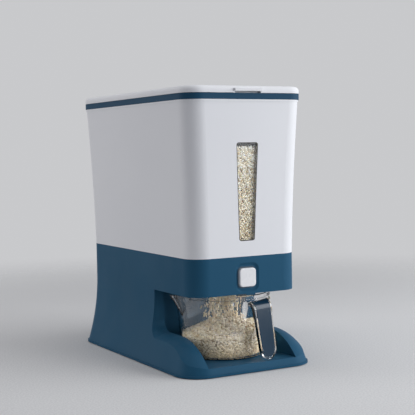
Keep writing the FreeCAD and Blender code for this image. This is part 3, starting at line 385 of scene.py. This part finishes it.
# %% Grip, window frame, seals, feet
grip_navy = moulded_plastic(
    "polished navy plastic", colour=(0.006, 0.024, 0.048), drift_colour=(0.008, 0.030, 0.058),
    roughness=0.10, dull=0.18, grain=1800.0, depth=0.02 * mm, specular=0.28)
dress(grip_navy, "jug_grip")
frame_grey = moulded_plastic(
    "dark window frame", colour=(0.055, 0.052, 0.050), drift_colour=(0.070, 0.066, 0.062),
    roughness=0.34, dull=0.48, grain=1500.0, depth=0.03 * mm)
dress(frame_grey, "window_gasket")
silicone = moulded_plastic(
    "milky silicone", colour=(0.62, 0.62, 0.60), drift_colour=(0.56, 0.56, 0.55),
    roughness=0.55, dull=0.68, grain=800.0, depth=0.08 * mm)
dress(silicone, "lid_seal", "shutter_seal")
rubber = moulded_plastic(
    "black rubber", colour=(0.018, 0.018, 0.018), drift_colour=(0.030, 0.030, 0.029),
    roughness=0.70, dull=0.85, grain=600.0, depth=0.15 * mm)
dress(rubber, "rubber_feet")

# %% [markdown]
# The screws, springs and hinge pins are bright zinc-plated steel. Drawing and rolling leave fine lines
# along the part, so the noise that roughens them is many times finer across the part than along it.

# %% Plated steel
lines_across = 3000.0
line_shade = 0.8              # colour in a line, as a share of the colour beside it


def plated_steel(name, colour, line_scale):
    """Bright steel. line_scale is how fine the noise is along each axis."""
    material = bpy.data.materials.new(name)
    material.use_nodes = True
    tree = material.node_tree
    surface = tree.nodes["Principled BSDF"]
    surface.inputs["Metallic"].default_value = 1.0
    place = add_node(tree, "ShaderNodeTexCoord")
    along = add_node(tree, "ShaderNodeMapping", {"Scale": line_scale})
    lines = add_node(tree, "ShaderNodeTexNoise", {"Scale": 1.0, "Detail": 4.0})
    gloss = add_node(tree, "ShaderNodeMapRange", {"To Min": 0.22, "To Max": 0.42})
    lined_colour = [line_shade * part for part in colour]
    shade = mix_colours(tree, colour, lined_colour, lines, "Fac")
    join(tree, place, "Object", along, "Vector")
    join(tree, along, "Vector", lines, "Vector")
    join(tree, lines, "Fac", gloss, "Value")
    join(tree, gloss, "Result", surface, "Roughness")
    join(tree, shade, "Result", surface, "Base Color")
    return material


screw_zinc = plated_steel("zinc screw steel", (0.66, 0.66, 0.64), (lines_across, lines_across, 40.0))
dress(screw_zinc, "bottom_cover_screws", "hopper_screws", "outlet_panel_screws", "shutter_screws")
spring_steel = plated_steel("bright spring steel", (0.70, 0.70, 0.70), (lines_across, 60.0, lines_across))
dress(spring_steel, "return_spring_left", "return_spring_right")
pin_steel = plated_steel("bright pin steel", (0.68, 0.68, 0.68), (40.0, lines_across, lines_across))
dress(pin_steel, "lid_hinge_pins")

# %% [markdown]
# ## Clear plastic
#
# The jug and the window are moulded from a clear styrene plastic. They have real walls in the CAD, so
# plain transmission bends the light as the real wall does. A faint wave from the mould keeps the
# refractions from looking like cut glass, and handling leaves it a little hazy in patches, the window
# more than the jug. A renderer gives glass a black shadow, so for shadow rays alone the plastic is nearly
# open, and the lamps reach the rice behind it.

# %% Clear plastics
clear_index = 1.53
clear_wave_scale = 45.0
clear_grain_share = 0.02      # polished moulds leave waves and hardly any grain
shadow_share = 0.05           # how much of a shadow the clear wall throws


def clear_plastic(name, colour, haze, wave):
    """Clear plastic. haze is the roughness in the smudges, wave the height of the waves in metres."""
    material = bpy.data.materials.new(name)
    material.use_nodes = True
    tree = material.node_tree
    surface = tree.nodes["Principled BSDF"]
    surface.inputs["Base Color"].default_value = rgba(colour)
    surface.inputs["Transmission Weight"].default_value = 1.0
    surface.inputs["IOR"].default_value = clear_index
    skin = add_node(tree, "ShaderNodeGroup", node_tree=moulded_skin)
    skin.inputs["Grain Share"].default_value = clear_grain_share
    skin.inputs["Wave Scale"].default_value = clear_wave_scale
    gloss = add_node(tree, "ShaderNodeMapRange", {"To Min": 0.0, "To Max": haze})
    bump = add_node(tree, "ShaderNodeBump", {"Strength": 1.0, "Distance": wave})
    join(tree, skin, "Smudge", gloss, "Value")
    join(tree, gloss, "Result", surface, "Roughness")
    join(tree, skin, "Height", bump, "Height")
    join(tree, bump, "Normal", surface, "Normal")
    ways = add_node(tree, "ShaderNodeLightPath")
    shadow = add_node(tree, "ShaderNodeMapRange", {"To Min": 1.0, "To Max": shadow_share})
    join(tree, ways, "Is Shadow Ray", shadow, "Value")
    join(tree, shadow, "Result", surface, "Alpha")
    return material


jug_clear = clear_plastic("clear jug plastic", (0.99, 0.99, 0.985), haze=0.05, wave=0.25 * mm)
dress(jug_clear, "jug_body")
window_clear = clear_plastic("clear window plastic", (0.87, 0.905, 0.95), haze=0.14, wave=0.08 * mm)
dress(window_clear, "window_pane")

# %% [markdown]
# ## Rice
#
# A grain of short rice is a blunt spindle about 5 mm long and 2.3 mm thick, milky and slightly shiny.
# Thousands of them are seen, so a grain has only thirty faces and gets its round look from smooth
# shading. Every grain carries a tone between 0 and 1 in an attribute: the material reads it to
# make some grains chalky white and others the colour of straw or of bran. Low in the jug and behind the
# window the tone is also lowered as painted shade, so those grains are darker.

# %% Rice material
# darkest grain colour: bran, and also the painted shade that grains low in the rice are driven towards
bran_and_shade_colour = (0.44, 0.29, 0.14)
straw_colour = (0.86, 0.72, 0.495)
chalk_colour = (0.99, 0.905, 0.76)
straw_tone = 0.45
rice_finish = bpy.data.materials.new("milled rice")
rice_finish.use_nodes = True
tree = rice_finish.node_tree
surface = tree.nodes["Principled BSDF"]
surface.inputs["Subsurface Weight"].default_value = 0.25
surface.inputs["Subsurface Radius"].default_value = (1.6 * mm, 1.2 * mm, 0.7 * mm)
surface.inputs["Subsurface Scale"].default_value = 1.0
tone = add_node(tree, "ShaderNodeAttribute", attribute_name="tone")
shade = add_node(tree, "ShaderNodeValToRGB")
shade.color_ramp.elements[0].color = rgba(bran_and_shade_colour)
shade.color_ramp.elements[1].color = rgba(chalk_colour)
shade.color_ramp.elements.new(straw_tone).color = rgba(straw_colour)
place = add_node(tree, "ShaderNodeTexCoord")
chalk = add_node(tree, "ShaderNodeTexNoise", {"Scale": 700.0, "Detail": 3.0})
chalk_gloss = add_node(tree, "ShaderNodeMapRange", {"To Min": 0.28, "To Max": 0.55})
bump = add_node(tree, "ShaderNodeBump", {"Strength": 1.0, "Distance": 0.12 * mm})
join(tree, tone, "Fac", shade, "Fac")
join(tree, shade, "Color", surface, "Base Color")
join(tree, place, "Object", chalk, "Vector")
join(tree, chalk, "Fac", chalk_gloss, "Value")
join(tree, chalk_gloss, "Result", surface, "Roughness")
join(tree, chalk, "Fac", bump, "Height")
join(tree, bump, "Normal", surface, "Normal")
print("material:", rice_finish.name)

# %% [markdown]
# Behind the outer grains lies the mass of the rice. It is one closed body, seen only through the chinks
# between the grains. Its colour is painted shade: darker than the grains, and darker still at the edges
# of a cell pattern that is as coarse as the grains, for the shade in the chinks between them.

# %% Rice mass material
# painted shade of the mass: its middle colour, and the darker colour at the cells' edges
mass_shade_colour = (0.62, 0.49, 0.32)
chink_shade_colour = (0.30, 0.22, 0.135)
cells_per_metre = 330.0
shaded_mass_finish = bpy.data.materials.new("packed rice in painted shade")
shaded_mass_finish.use_nodes = True
tree = shaded_mass_finish.node_tree
surface = tree.nodes["Principled BSDF"]
surface.inputs["Roughness"].default_value = 0.6
place = add_node(tree, "ShaderNodeTexCoord")
cells = add_node(tree, "ShaderNodeTexVoronoi", {"Scale": cells_per_metre})
shade = add_node(tree, "ShaderNodeValToRGB")
shade.color_ramp.elements[0].color = rgba(mass_shade_colour)
shade.color_ramp.elements[1].color = rgba(chink_shade_colour)
bump = add_node(tree, "ShaderNodeBump", {"Strength": 1.0, "Distance": 1.2 * mm}, invert=True)
join(tree, place, "Object", cells, "Vector")
join(tree, cells, "Distance", shade, "Fac")
join(tree, shade, "Color", surface, "Base Color")
join(tree, cells, "Distance", bump, "Height")
join(tree, bump, "Normal", surface, "Normal")
print("material:", shaded_mass_finish.name)

# %% [markdown]
# One grain is a coarse ball from a single operator, stretched into a spindle. A heap is many copies of
# it in one mesh: each copy is turned into its place, given its tone, and read into the heap's bmesh.
# Copying is far quicker than calling the operator anew in a mesh that keeps growing.

# %% Grains
grain_length = 5.3 * mm
grain_width = 2.3 * mm
least_size = 0.86
most_size = 1.10
pale_weight = 1.9             # of the tones: above dark_weight, pale grains outnumber dark ones
dark_weight = 1.0
random.seed(11)

bm = bmesh.new()
spindle = Matrix.Diagonal((0.5 * grain_width, 0.5 * grain_width, 0.5 * grain_length, 1.0))
bmesh.ops.create_uvsphere(bm, u_segments=6, v_segments=5, radius=1.0, matrix=spindle)
for face in bm.faces:
    face.smooth = True
grain_mesh = bpy.data.meshes.new("grain")
bm.to_mesh(grain_mesh)
bm.free()
grain_mesh.attributes.new("tone", "FLOAT", "POINT")
print("one grain has", len(grain_mesh.polygons), "faces")


def rice_piece(name, bm, finish, body):
    """A piece of rice from its bmesh, in its finish, carried by one of the bodies."""
    mesh = bpy.data.meshes.new(name)
    bm.to_mesh(mesh)
    bm.free()
    mesh.materials.append(finish)
    piece = bpy.data.objects.new(name, mesh)
    bpy.context.scene.collection.objects.link(piece)
    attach(piece, body)
    print(name, "faces:", len(mesh.polygons))


def grain_piece(name, places, body, painted_shade=None):
    """One piece of many grains, from pairs of place and direction. The optional function of the place gives
    painted shade: a share that darkens the tone.
    """
    bm = bmesh.new()
    for place, along in places:
        size = Matrix.Scale(random.uniform(least_size, most_size), 4)
        turn = along.to_track_quat("Z", "Y").to_matrix().to_4x4()
        roll = Matrix.Rotation(random.uniform(0, math.tau), 4, "Z")
        grain = grain_mesh.copy()
        grain.transform(Matrix.Translation(place) @ turn @ roll @ size)
        # random tone of the grain, darkened by the painted shade where a function for it is given
        tone_and_painted_shade = random.betavariate(pale_weight, dark_weight) * (painted_shade(place) if painted_shade else 1.0)
        grain.attributes["tone"].data.foreach_set("value", [tone_and_painted_shade] * len(grain.vertices))
        bm.from_mesh(grain)
        bpy.data.meshes.remove(grain)
    rice_piece(name, bm, rice_finish, body)


def lying(slope):
    """Direction of a grain that lies on a heap, in any heading and tipped by about the slope."""
    heading = random.uniform(0, math.tau)
    return Vector((math.cos(heading), math.sin(heading), random.gauss(0.0, slope)))


def painted_shade_by_height(share, least, rate):
    """Painted shade: the rice is made darker downwards, for the shade low in the rice. share is 0 at the
    foot and 1 at the top.
    """
    return least + (1 - least) * min(max(share * rate, 0.0), 1.0)


# %% [markdown]
# ## Rice in the jug
#
# The rice has to stay inside the clear wall, so the wall is measured: a ray goes out from the
# jug's axis and stops at the inner face of the CAD jug. The rice falls from the outlet as a
# curtain, so the heap is a low ridge under it that runs down to the wall on every side.

# %% Measure the jug
def surface_tree(name):
    return BVHTree.FromObject(nodes[name], bpy.context.evaluated_depsgraph_get())


spout_low, spout_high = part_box("outlet_spout")
outlet = (spout_low + spout_high) / 2
jug_low, jug_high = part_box("jug_body")
jug_tree = surface_tree("jug_body")


def on_axis(z):
    return Vector((outlet.x, outlet.y, z))


def outwards(angle):
    return Vector((math.cos(angle), math.sin(angle), 0.0))


def around(angle):
    return Vector((-math.sin(angle), math.cos(angle), 0.0))


def wall_radius(angle, z):
    """Distance from the jug's axis to its inner face: the ray's length, the fourth value it gives."""
    return jug_tree.ray_cast(on_axis(z), outwards(angle))[3]


jug_floor = jug_tree.ray_cast(on_axis(jug_high.z), Vector((0, 0, -1)))[0].z
backwards = math.radians(90)
print("jug floor z", round(jug_floor, 4), "radius at 30 mm", round(wall_radius(backwards, 30 * mm), 4))

# %% [markdown]
# The top of the heap is a formula and not a sculpted mesh. The mass and the loose grains both ask it for
# the height at a place, so they always agree.

# %% The shape of the heap
heap_edge = 45.5 * mm         # height of the rice round the edge
heap_peak = 66.0 * mm         # height of the ridge
heap_tilt = 0.10              # rise towards the right
heap_hollow = 1.15            # above 1, the slopes sag
heap_run = 52.0 * mm          # from the ridge to the foot of its slopes
ridge_half = 14.0 * mm


def heap_height(x, y):
    """Height of the rice at a place in the jug: a soft ridge under the outlet, higher to the right."""
    beyond = max(abs(x - outlet.x) - ridge_half, 0.0)
    share = min(math.hypot(beyond, y - outlet.y) / heap_run, 1.0)
    rise = (heap_peak - heap_edge) * (1 - share) ** heap_hollow
    return heap_edge + rise + heap_tilt * (x - outlet.x)


print("heap from", heap_height(50 * mm, outlet.y), "to", heap_height(0.0, outlet.y))

# %% [markdown]
# The mass of the heap is a profile spun round the jug's axis: across the top, down the wall and back
# along the floor. The top is then lifted to the heap's shape, vertex by vertex.

# %% Mass of the rice in the jug
mass_gap = 1.5 * mm           # the mass lies this far behind the outer grains
wall_heights = (40 * mm, 30 * mm, 24 * mm)    # where the wall is measured for the side of the mass
foot_ray_height = 2.5 * mm    # the same for its foot, over the jug's floor
foot_height = 2.0 * mm        # from here the mass turns in towards the floor
foot_inset = 6.0 * mm
floor_gap = 0.3 * mm
top_rings = 16
spin_steps = 72
same_point = 0.02 * mm        # points nearer than this are merged
level_margin = 0.1 * mm       # points this near the edge's height belong to the top


def jug_mass():
    bm = bmesh.new()
    top_radius = wall_radius(backwards, heap_edge) - mass_gap
    foot_radius = wall_radius(backwards, jug_floor + foot_ray_height)
    profile = [(top_radius * ring / top_rings, heap_edge) for ring in range(top_rings + 1)]
    profile += [(wall_radius(backwards, z) - mass_gap, z) for z in wall_heights]
    profile.append((foot_radius - mass_gap, jug_floor + foot_height))
    profile.append((foot_radius - foot_inset, jug_floor + floor_gap))
    profile.append((0.0, jug_floor + floor_gap))
    corners = [bm.verts.new((outlet.x + radius, outlet.y, z)) for radius, z in profile]
    edges = [bm.edges.new(pair) for pair in zip(corners, corners[1:])]
    bmesh.ops.spin(bm, geom=corners + edges, cent=on_axis(0.0), axis=(0, 0, 1), angle=math.tau,
                   steps=spin_steps, use_merge=True)
    bmesh.ops.remove_doubles(bm, verts=bm.verts, dist=same_point)
    bmesh.ops.recalc_face_normals(bm, faces=bm.faces)
    for vertex in bm.verts:
        if vertex.co.z > heap_edge - level_margin:
            vertex.co.z = heap_height(vertex.co.x, vertex.co.y) - mass_gap
    for face in bm.faces:
        face.smooth = True
    return bm


rice_piece("rice_mass_in_jug", jug_mass(), shaded_mass_finish, "jug")

# %% [markdown]
# Against the clear wall the grains lie flat, pressed side by side and turned every way. Towards the jug's
# floor they lie more level and closer together, and one closed ring of grains hides the edge of the mass.

# %% Grains against the jug's wall
wall_grains = 3800
foot_grains = 190
wall_skin = 0.5 * grain_width + 0.2 * mm      # from the wall to the middle of the nearest grains
wall_layer = 1.5 * mm         # the others lie up to this much deeper
wall_foot = 1.5 * mm          # lowest grains over the jug's floor
wall_reach = 58.0 * mm        # radius at which the heap meets the wall
foot_crowding = 1.15          # above 1, more grains lie low than high
edge_lift = 0.4 * mm          # the top grains stand a little above the heap, some more than others
edge_scatter = 1.3 * mm
lean_spread = 0.95            # tilt of the grains in radians, against the wall
lean_full_height = 6.0 * mm   # below this height over the floor they lie ever more level
inward_lean = 0.12            # slope at which grains point away from the wall, at most
ring_low = 1.3 * mm           # the closed ring's height over the jug's floor
ring_high = 1.7 * mm


def wall_places():
    places = []
    foot_z = jug_floor + wall_foot
    for _ in range(wall_grains):
        angle = random.uniform(0, math.tau)
        edge = on_axis(0.0) + wall_reach * outwards(angle)
        top_z = heap_height(edge.x, edge.y) + random.gauss(edge_lift, edge_scatter)
        z = foot_z + (top_z - foot_z) * random.random() ** foot_crowding
        radius = wall_radius(angle, z) - wall_skin - random.uniform(0.0, wall_layer)
        lean = random.gauss(0.0, lean_spread) * min((z - jug_floor) / lean_full_height, 1.0)
        along = around(angle) * math.cos(lean) + Vector((0.0, 0.0, math.sin(lean)))
        inwards = outwards(angle) * random.uniform(-inward_lean, 0.0)
        places.append((on_axis(z) + outwards(angle) * radius, along + inwards))
    for step in range(foot_grains):
        angle = math.tau * step / foot_grains
        z = jug_floor + random.uniform(ring_low, ring_high)
        radius = wall_radius(angle, z) - wall_skin
        places.append((on_axis(z) + outwards(angle) * radius, around(angle)))
    return places


# Painted shade: grains low at the jug's wall are darkened, for the shade of the tray's arms and the jug's
# thick foot.
def jug_wall_painted_shade(place):
    return painted_shade_by_height((place.z - jug_floor) / (heap_edge - jug_floor), least=0.30, rate=1.4)


grain_piece("rice_at_jug_wall", wall_places(), "jug", jug_wall_painted_shade)

# %% [markdown]
# Loose grains cover the top of the heap. The square root spreads them evenly over its round area:
# without it they would crowd round the middle.

# %% Grains on top of the heap
top_grains = 2600
top_wall_gap = 2.6 * mm
top_sink = 1.6 * mm           # how far grains lie below the heap's height, and above it
top_rise = 1.5 * mm
top_slope = 0.6


def top_places():
    places = []
    reach = wall_radius(backwards, heap_edge) - top_wall_gap
    for _ in range(top_grains):
        angle = random.uniform(0, math.tau)
        radius = reach * math.sqrt(random.random())
        place = on_axis(0.0) + outwards(angle) * radius
        place.z = heap_height(place.x, place.y) + random.uniform(-top_sink, top_rise)
        places.append((place, lying(top_slope)))
    return places


grain_piece("rice_on_heap", top_places(), "jug")

# %% [markdown]
# The last grains are still falling. They form a thin curtain as wide as the outlet, dense near the
# spout and looser where it meets the heap, and a few stray from it.

# %% Falling grains
falling_grains = 380
curtain_half = 18.9 * mm      # filled evenly to this half width
curtain_stray = 2.52 * mm     # and a few grains stray past it
curtain_scatter = 3.3 * mm    # spread to the front and the back
curtain_flare = 0.5           # the curtain is wider by this share where it meets the heap
curtain_top = jug_high.z - 1.0 * mm
tumble = 0.5                  # slope of a falling grain from upright


def falling_places():
    places = []
    low = heap_height(outlet.x, outlet.y)
    for _ in range(falling_grains):
        share = random.random()
        spread = 1.0 + curtain_flare * (1 - share)
        aside = random.uniform(-curtain_half, curtain_half) + random.gauss(0.0, curtain_stray)
        x = outlet.x + aside * spread
        y = outlet.y + random.gauss(0.0, curtain_scatter) * spread
        along = Vector((random.gauss(0.0, tumble), random.gauss(0.0, tumble), 1.0))
        places.append((Vector((x, y, low + (curtain_top - low) * share)), along))
    return places


grain_piece("rice_falling", falling_places(), "jug")

# %% [markdown]
# ## Rice in the bin
#
# The window shows the rice pressed against its back, up to a little below its top edge. The wall leans,
# so a ray from inside the bin finds the back of the pane, or the wall beside it, for each grain.

# %% Grains behind the window
pane_low, pane_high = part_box("window_pane")
pane_tree = surface_tree("window_pane")
tub_tree = surface_tree("hopper_tub")
rice_level = pane_high.z - 9.0 * mm
ray_start_y = pane_high.y + 30.0 * mm         # inside the bin, well behind the pane
window_grains = 2700
window_margin = 3.0 * mm      # the rice goes on behind the frame
window_layer = 2.8 * mm       # depth of the loose grains behind the pane
window_slope = 0.1            # they lie nearly flat against it
forwards = Vector((0, -1, 0))


def inner_face(x, z):
    """Place of the bin's inner face or the pane's back in front of a point inside."""
    found = [tree.ray_cast(Vector((x, ray_start_y, z)), forwards)[0] for tree in (pane_tree, tub_tree)]
    return max(point.y for point in found if point)


def window_places():
    places = []
    for _ in range(window_grains):
        x = random.uniform(pane_low.x - window_margin, pane_high.x + window_margin)
        z = random.uniform(pane_low.z - window_margin, rice_level)
        y = inner_face(x, z) + wall_skin + random.uniform(0.0, window_layer)
        turn = random.uniform(0, math.pi)
        along = Vector((math.cos(turn), random.uniform(-window_slope, window_slope), math.sin(turn)))
        places.append((Vector((x, y, z)), along))
    return places


# Painted shade: the grains behind the window are darker towards its bottom.
def window_painted_shade(place):
    return painted_shade_by_height((place.z - pane_low.z) / (pane_high.z - pane_low.z), least=0.45, rate=1.5)


grain_piece("rice_behind_window", window_places(), "base", window_painted_shade)

# %% [markdown]
# When the lid is up, the rice is seen from above. Its mass is a block with the bin's rounded outline that
# tapers down with the walls, and loose grains lie over its top.

# %% Mass of the rice in the bin
tub_low, tub_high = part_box("hopper_tub")
tub_centre = (tub_low + tub_high) / 2
funnel_low, funnel_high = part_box("hopper_funnel")
beside_window_x = 50.0 * mm   # the front wall is measured here, clear of the window
bin_gap = 2.4 * mm            # between the mass and the side and back walls
front_gap = 4.0 * mm          # more at the front, where the grains behind the window are
bin_corner = 22.0 * mm
block_foot_depth = 4.0 * mm   # below the funnel's top edge


def room_at(z):
    """Places of the bin's right wall, front wall and rear wall at height z, seen from its middle."""
    start = Vector((tub_centre.x, tub_centre.y, z))
    right = tub_tree.ray_cast(start, Vector((1, 0, 0)))[0].x
    rear = tub_tree.ray_cast(start, Vector((0, 1, 0)))[0].y
    front = tub_tree.ray_cast(start + Vector((beside_window_x, 0, 0)), forwards)[0].y
    return right, front, rear


def bin_mass():
    bm = bmesh.new()
    low_z = funnel_high.z - block_foot_depth
    block = bmesh.ops.create_cube(bm, size=1.0)
    for vertex in block["verts"]:
        z = rice_level if vertex.co.z > 0 else low_z
        right, front, rear = room_at(z)
        vertex.co.x = math.copysign(right - bin_gap, vertex.co.x)
        vertex.co.y = rear - bin_gap if vertex.co.y > 0 else front + front_gap
        vertex.co.z = z - mass_gap
    half_height = 0.5 * (rice_level - low_z)
    upright = [edge for edge in bm.edges if abs(edge.verts[0].co.z - edge.verts[1].co.z) > half_height]
    bmesh.ops.bevel(bm, geom=upright, offset=bin_corner, offset_type="OFFSET", segments=6, profile=0.5,
                    affect="EDGES", material=-1)
    return bm


rice_piece("rice_mass_in_bin", bin_mass(), shaded_mass_finish, "base")

# %% [markdown]
# The loose grains over the mass are laid in a rectangle. A grain that comes down in one of its corners,
# where the bin's wall is round, is left out.

# %% Grains over the bin's rice
bin_top_grains = 4000
grain_side_gap = 3.0 * mm
grain_front_gap = 4.5 * mm
grain_rear_gap = 4.0 * mm
grain_corner = 18.0 * mm      # rounding of the grains' outline, inside that of the mass
bin_top_layer = 2.0 * mm
bin_top_slope = 0.15          # the surface in the bin is shaken level


def bin_top_places():
    places = []
    right, front, rear = room_at(rice_level)
    for _ in range(bin_top_grains):
        x = random.uniform(-right + grain_side_gap, right - grain_side_gap)
        y = random.uniform(front + grain_front_gap, rear - grain_rear_gap)
        corner_x = max(abs(x) - (right - bin_corner), 0.0)
        corner_y = max(abs(y - tub_centre.y) - ((rear - front) / 2 - bin_corner), 0.0)
        if math.hypot(corner_x, corner_y) > grain_corner:
            continue
        z = rice_level - random.uniform(0.0, bin_top_layer)
        places.append((Vector((x, y, z)), lying(bin_top_slope)))
    return places


grain_piece("rice_over_bin", bin_top_places(), "base")
